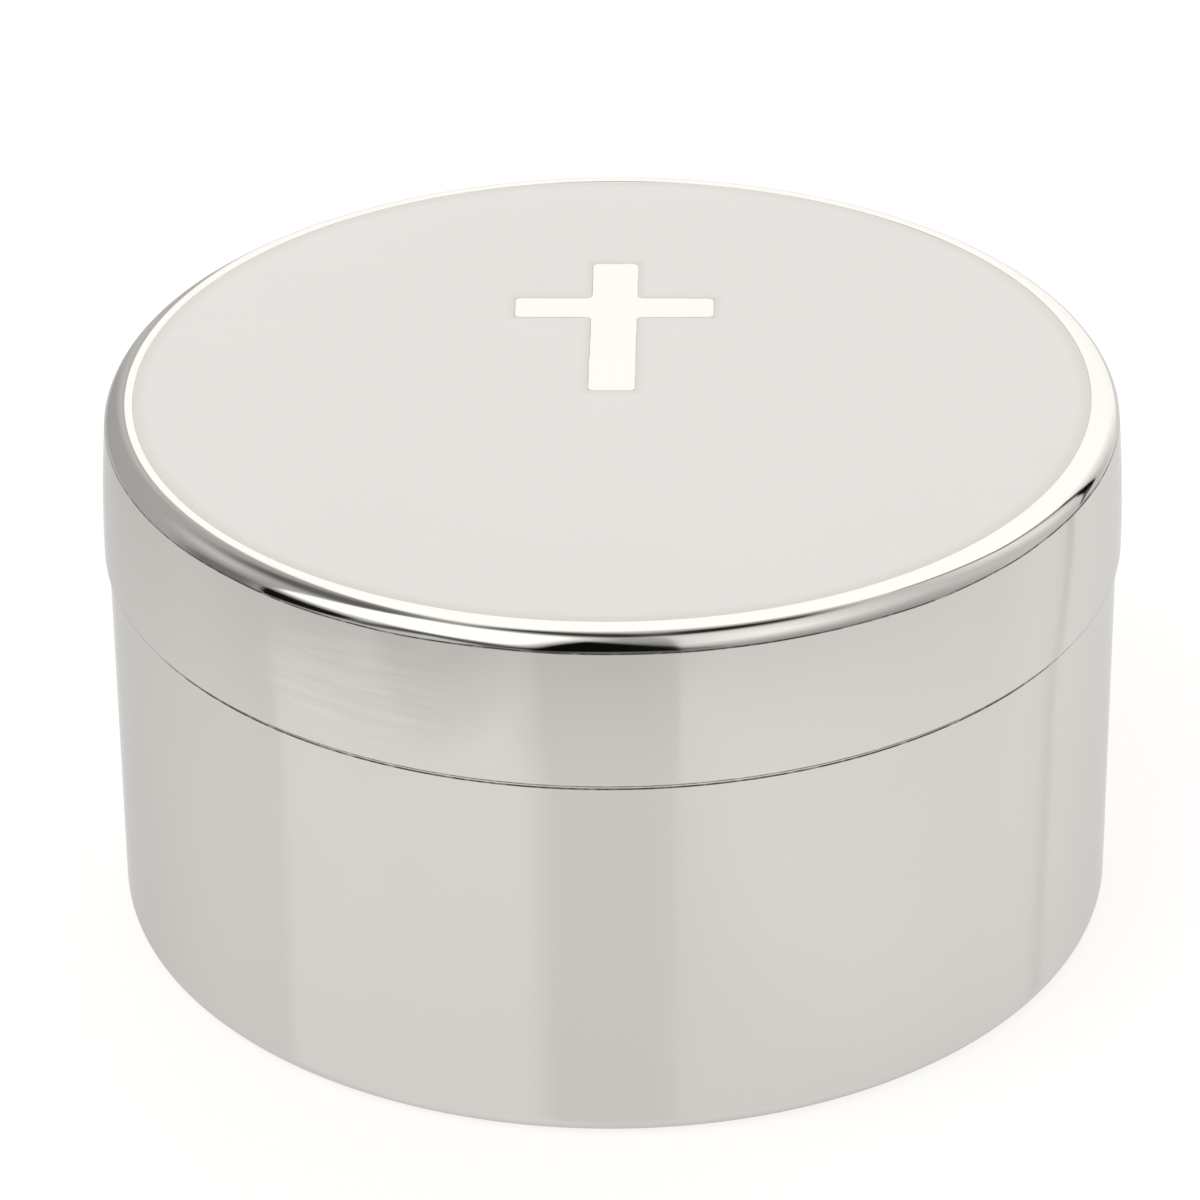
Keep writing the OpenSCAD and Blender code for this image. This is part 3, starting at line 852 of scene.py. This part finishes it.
class RosaryBoxVelvet(bpy.types.Operator):
    """Line the base and the lid with velvet over card and wadding."""

    bl_idname = "rosary_box.velvet"
    bl_label = "Velvet Lining"

    def execute(self, context):
        lining, finish = context.scene.rosary_lining, context.scene.rosary_finish
        velvet, card = velvet_material(finish), card_material(finish)
        self.wall(lining, velvet)
        self.pad(
            "floor_pad", "base", ("floor_velvet", "floor_wadding"), velvet, lining,
            lining.floor_r, lining.floor_low, lining.floor_top, lining.floor_fall,
        )
        self.pad(
            "lid_pad", "lid", ("lid_velvet", "lid_wadding"), velvet, lining,
            lining.lid_r, lining.lid_top, lining.lid_low, lining.lid_fall,
        )
        for node in ("wall_card", "floor_card", "lid_card"):
            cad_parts[node].data.materials.clear()
            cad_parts[node].data.materials.append(card)
        return {"FINISHED"}

    def wall(self, lining, velvet):
        """Velvet round the wall, rolled over the card's top edge, with a sewn joint at the back."""
        outer, inner = lining.wall_out, lining.wall_out - lining.wall_t
        top, foot, t = lining.wall_top, lining.wall_foot, lining.velvet_t
        roll = arc((inner + t, top - t), t, 180, 90, 10.0)
        profile = [(inner, foot)] + [(inner, foot + (top - t - foot) * i / 24) for i in range(1, 24)] + roll
        profile += [(outer - 0.1 * MM, top), (outer, top - 0.1 * MM), (outer, top - t), (inner + t, top - t)]
        profile += [(inner + t, foot)]
        bm = lathe(profile, 288)
        for v in bm.verts:
            r = math.hypot(v.co.x, v.co.y)
            if r > inner + t * 0.5 or v.co.z < foot + 0.4 * MM:
                continue
            way = Vector((v.co.x / r, v.co.y / r, 0.0))
            off = abs(v.co.x) / JOINT_WIDTH if v.co.y > 0 else 9.0
            dip = JOINT_DIP * math.exp(-off * off)
            ripple = RIPPLE * max(0.0, noise(v.co / RIPPLE_WIDTH) + 0.25)
            v.co += way * (dip + ripple)
        wall = new_object("wall_lining", bm, velvet)
        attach(wall, "base")
        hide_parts("wall_velvet")

    def pad(self, name, body, nodes, velvet, lining, radius, back, crown, fall):
        """A padded disc: velvet drawn over wadding and pulled under its card, puckered a little near its edge."""
        bm = lathe(pad_profile(lining, radius, back, crown, fall), 240)
        for v in bm.verts:
            depth = (v.co.z - back) / (crown - back)
            if depth < 0.45:
                continue
            r = math.hypot(v.co.x, v.co.y)
            pucker = 0.5 + 0.5 * math.cos(PUCKERS * math.atan2(v.co.y, v.co.x) + 3 * noise(v.co / (9 * MM)))
            near = max(0.0, min(1.0, (r / radius - 0.8) / 0.17))
            v.co.z -= math.copysign(PUCKER_DEPTH * pucker * near * near, crown - back) * depth
        pad = new_object(name, bm, velvet)
        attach(pad, body)
        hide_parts(*nodes)


# Studio

# The tent seen from inside, as convex panels painted one over another: name, brightness, softness and corners.
# The softness is one width for all sides or one for each, in degrees. A corner is given in degrees from the point
# overhead, to the right and towards the camera.
CLOTH_LEVEL = 0.6
CLOTH_TINT = (1.0, 0.995, 0.98)
TENT_PANELS = [
    ("right glow", 1.02, [36, 36, 20, 36], [(6, 14), (46, 14), (58, 52), (16, 64)]),
    ("right shade", 0.33, [34, 1, 1, 1], [(10, 84), (98, 2), (200, 60), (60, 200)]),
    ("front shade", 0.14, [10, 12, 10, 4], [(16, 68), (32, 69), (34, 76), (18, 79)]),
    ("right cloth", 0.88, 16, [(38, -12), (56, -34), (72, -44), (74, -20), (50, -4)]),
    (
        "backdrop", 1.2, [3, 2, 8, 8, 6, 5, 4, 24, 3],
        [(-24, -200), (-23, -30), (-15, -7), (8, -7), (31, -13), (46, -20), (54, -33), (58, -40), (59, -200)],
    ),
    (
        "left cloth", 0.43, [3, 6, 4, 4, 1, 1],
        [(-19.5, -200), (-19, -5), (-28, 5), (-66, 12.5), (-160, 16), (-160, -200)],
    ),
    ("back glow", 0.62, 14, [(-24, -110), (-21, -40), (-30, -44), (-38, -110)]),
    ("left glow", 0.57, 14, [(-66, -26), (-50, -26), (-50, -2), (-64, -2)]),
    ("dusky cloth", 0.13, 15, [(-42, -26), (-28, -26), (-15, -9), (-20, 4), (-36, 6), (-46, -8)]),
    ("low dusk", 0.18, 20, [(-80, -20), (-112, -20), (-112, 26), (-62, 14), (-66, 4)]),
    (
        "left lamp", 1.25, [3, 3, 5, 5, 6, 5, 8, 8, 8, 9, 6],
        [
            (-62, 12), (-49, 7.5), (-22, 2), (-10, 13), (-4, 20), (-4, 25), (-17, 56), (-24, 61), (-32, 57),
            (-46, 42), (-59, 27),
        ],
    ),
    ("frame", 0.006, [3, 8, 7, 6, 6, 5], [(-93, 20.5), (-70.5, 13), (-57, 42), (-67, 48), (-79, 41), (-91, 26)]),
    ("frame foot", 0.1, 7, [(-68, 43), (-48, 43), (-40, 51), (-44, 56), (-67, 52)]),
    ("frame side", 0.06, 8, [(-50, 45), (-42, 47), (-25, 65), (-32, 73), (-46, 56)]),
    ("frame end", 0.05, 9, [(-32, 65), (-10, 67), (-10, 78), (-26, 77), (-35, 71)]),
    ("gap left", 0.05, 7, [(-17, 0), (-9, -4), (4, 3), (8, 14), (3, 21), (-3, 18)]),
    ("gap right", 0.02, 10, [(3, 3), (9, -3), (25, -4), (28, 4), (13, 18), (4, 20)]),
    ("rail start", 0.2, 2.5, [(28, -13.5), (45, -20.5), (46.5, -17.5), (29, -11)]),
    ("rail middle", 0.12, 2.5, [(44.5, -19.3), (54.5, -37.8), (57.5, -36.2), (47.5, -17.7)]),
    ("rail end", 0.05, 2.5, [(53.5, -36.5), (61.5, -44), (64, -41.5), (56.5, -34)]),
    ("joint", 0.006, 2, [(61.5, -42.5), (71.5, -57), (78, -51), (74, -46), (64.5, -40)]),
    ("joint arm", 0.12, 2, [(72.5, -51.5), (84.5, -50), (84, -47.5), (73.5, -46)]),
    ("stand shade", 0.4, [5, 1, 5, 5], [(0, 19), (8, 23), (15, 52), (-1, 34)]),
    ("stand", 0.004, [8, 13, 1, 18, 6, 5], [(-3.5, 31), (0, 33.5), (14, 51), (22.5, 83), (-27, 83), (-17, 60)]),
]


def tent_group():
    """Where a direction lies in the plan of the tent, in degrees from the point overhead: to the right and towards the
    camera."""

    def build(tree, inside, outside):
        split = parts(tree, inside["Direction"])
        level = level_vector(tree, split["X"], math_node(tree, "MULTIPLY", split["Y"], -1.0))
        down = math_node(tree, "MULTIPLY", math_node(tree, "ARCCOSINE", split["Z"]), 180 / math.pi)
        plan = vector_node(tree, "MULTIPLY", vector_node(tree, "NORMALIZE", level), down)
        tree.links.new(plan, outside["Plan"])

    return group("Tent plan", build, {"Direction": (0, 0, 1)}, {"Plan": (0, 0, 0)})


def panel(tree, plan, corners, soft):
    """Mask of a convex panel of the tent with the given corners in plan. Soft is one width for all its sides, or one
    for each. Returns the output socket."""
    middle = sum((Vector(c) for c in corners), Vector((0, 0))) / len(corners)
    widths = soft if isinstance(soft, list) else [soft] * len(corners)
    mask = None
    for a, b, width in zip(corners, corners[1:] + corners[:1], widths):
        a, b = Vector(a), Vector(b)
        inward = Vector((a.y - b.y, b.x - a.x)).normalized() / width
        if inward.dot(middle - a) < 0:
            inward = -inward
        reach = vector_node(tree, "DOT_PRODUCT", plan, (inward.x, inward.y, 0.0))
        side = math_node(tree, "ADD", reach, 0.5 - inward.dot(a), True)
        mask = side if mask is None else math_node(tree, "MULTIPLY", mask, side)
    return mask


# The floor: its own light as the camera sees it, its tint, and the colour that it shows to the camera and the metal.
# In the metal its light is the sum of two ramps across the scene, each (first x, last x, first level, last level).
FLOOR_SEEN = 0.84
FLOOR_TINT = (1.0, 0.988, 0.98, 1.0)
FLOOR_DIRECT = (0.22, 0.22, 0.218)
FLOOR_LEFT = (-0.1, -0.045, 0.53, 0.58)
FLOOR_RIGHT = (0.01, 0.035, 0.0, 0.035)
FLOOR_IOR = 1.5


class RosaryBoxStage(bpy.types.Operator):
    """Set up the floor, the light tent and the camera."""

    bl_idname = "rosary_box.stage"
    bl_label = "Stage"

    def execute(self, context):
        studio = context.scene.rosary_studio
        self.floor(studio)
        self.tent(context, studio)
        self.lamp(context, studio)
        self.camera(context, studio)
        context.scene.view_settings.view_transform = "Standard"
        return {"FINISHED"}

    def floor(self, studio):
        """A plain pale floor. The camera and the polished metal see a part of it as white, and its shadow stays."""
        bm = bmesh.new()
        bmesh.ops.create_circle(bm, cap_ends=True, radius=studio.floor_r, segments=96)
        mesh = bpy.data.meshes.new("floor")
        bm.to_mesh(mesh)
        bm.free()
        material, tree, shader, where = new_material("pale_floor")
        cloud = ramp(tree, noise_node(tree, where, 40.0, 2.0, 0.5), 0.3, 0.7)
        pale = mix(tree, cloud, tuple(studio.floor), tuple(0.99 * c for c in studio.floor))
        path = tree.nodes.new("ShaderNodeLightPath")
        seen, mirrored = path.outputs["Is Camera Ray"], path.outputs["Is Glossy Ray"]
        direct = math_node(tree, "ADD", seen, mirrored, True)
        tree.links.new(mix(tree, direct, pale, FLOOR_DIRECT), shader.inputs["Base Color"])
        shader.inputs["Roughness"].default_value = 0.06
        shader.inputs["IOR"].default_value = FLOOR_IOR
        tree.links.new(math_node(tree, "MULTIPLY", mirrored, 0.5), shader.inputs["Specular IOR Level"])
        shader.inputs["Emission Color"].default_value = FLOOR_TINT
        fresnel = tree.nodes.new("ShaderNodeFresnel")
        fresnel.inputs["IOR"].default_value = FLOOR_IOR
        across = parts(tree, where)["X"]
        level = math_node(tree, "ADD", ramp(tree, across, *FLOOR_LEFT), ramp(tree, across, *FLOOR_RIGHT))
        dimmed = math_node(tree, "MULTIPLY", mirrored, math_node(tree, "SUBTRACT", level, fresnel.outputs[0], True))
        tree.links.new(plus(tree, dimmed, seen, FLOOR_SEEN), shader.inputs["Emission Strength"])
        mesh.materials.append(material)
        floor = bpy.data.objects.new("floor", mesh)
        bpy.context.scene.collection.objects.link(floor)

    def tent(self, context, studio):
        """A tent of pale cloth round the box, panel by panel. The camera sees plain white instead."""
        world = bpy.data.worlds.new("light_tent")
        context.scene.world = world
        world.use_nodes = True
        tree = world.node_tree
        tree.nodes.clear()
        plan = place(tree, tent_group(), tree.nodes.new("ShaderNodeTexCoord").outputs["Generated"])["Plan"]

        def cloth(level):
            return tuple(level * studio.tent * c for c in CLOTH_TINT)

        look = cloth(CLOTH_LEVEL)
        for _, level, soft, corners in TENT_PANELS:
            look = mix(tree, panel(tree, plan, corners, soft), look, cloth(level))
        path = tree.nodes.new("ShaderNodeLightPath")
        look = mix(tree, path.outputs["Is Camera Ray"], look, (1.0, 1.0, 1.0))
        background = tree.nodes.new("ShaderNodeBackground")
        tree.links.new(look, background.inputs["Color"])
        output = tree.nodes.new("ShaderNodeOutputWorld")
        tree.links.new(background.outputs[0], output.inputs["Surface"])

    def lamp(self, context, studio):
        """A broad soft lamp above, to the left of the camera. The polished metal mirrors the tent alone."""
        data = bpy.data.lights.new("soft_lamp", "AREA")
        data.shape = "DISK"
        data.size = studio.lamp_size
        data.energy = studio.lamp_power
        lamp = bpy.data.objects.new("soft_lamp", data)
        lamp.location = studio.lamp_at
        lamp.rotation_euler = Vector(studio.lamp_at).to_track_quat("Z", "Y").to_euler()
        lamp.visible_glossy = False
        lamp.visible_camera = False
        context.scene.collection.objects.link(lamp)

    def camera(self, context, studio):
        """The camera, level but for a slight roll, at the photograph's angle."""
        data = bpy.data.cameras.new("camera")
        data.lens = studio.lens
        data.sensor_width = 36.0
        data.clip_start, data.clip_end = 0.01, 20.0
        camera = bpy.data.objects.new("camera", data)
        right = Vector((0.99978662, 0.01903958, -0.00801269))
        up = Vector((-0.00237852, 0.49141942, 0.8709198))
        back = Vector((0.02051953, -0.8707149, 0.49135985))
        turn = Matrix((right, up, back)).transposed().to_4x4()
        camera.matrix_world = Matrix.Translation(Vector(studio.camera_at)) @ turn
        context.scene.collection.objects.link(camera)
        context.scene.camera = camera


class RosaryBoxPanel(bpy.types.Panel):
    """Shows the settings of the rosary box and a button for each step that builds it."""

    bl_idname = "VIEW3D_PT_rosary_box"
    bl_label = "Rosary Box"
    bl_space_type = "VIEW_3D"
    bl_region_type = "UI"
    bl_category = "Rosary Box"

    def draw(self, context):
        for name in SETTINGS:
            settings = getattr(context.scene, name)
            box = self.layout.box()
            for key in settings.bl_rna.properties.keys():
                if key not in {"rna_type", "name"}:
                    box.prop(settings, key)
        for operator in OPERATORS:
            self.layout.operator(operator.bl_idname)


SETTINGS = {
    "rosary_metal": RosaryBoxMetal,
    "rosary_top": RosaryBoxTop,
    "rosary_lining": RosaryBoxLining,
    "rosary_finish": RosaryBoxFinish,
    "rosary_studio": RosaryBoxStudio,
}
OPERATORS = (RosaryBoxBase, RosaryBoxLid, RosaryBoxEnamel, RosaryBoxVelvet, RosaryBoxStage)


def register():
    """Make the settings, the operators and the panel known to Blender."""
    for cls in (*SETTINGS.values(), *OPERATORS, RosaryBoxPanel):
        bpy.utils.register_class(cls)
    for name, cls in SETTINGS.items():
        setattr(bpy.types.Scene, name, bpy.props.PointerProperty(type=cls))


def unregister():
    """Take them away again."""
    for name in SETTINGS:
        delattr(bpy.types.Scene, name)
    for cls in reversed((*SETTINGS.values(), *OPERATORS, RosaryBoxPanel)):
        bpy.utils.unregister_class(cls)


def main():
    """Dress the box and set the stage."""
    register()
    bpy.ops.rosary_box.base()
    bpy.ops.rosary_box.lid()
    bpy.ops.rosary_box.enamel()
    bpy.ops.rosary_box.velvet()
    bpy.ops.rosary_box.stage()


if __name__ == "__main__":
    main()
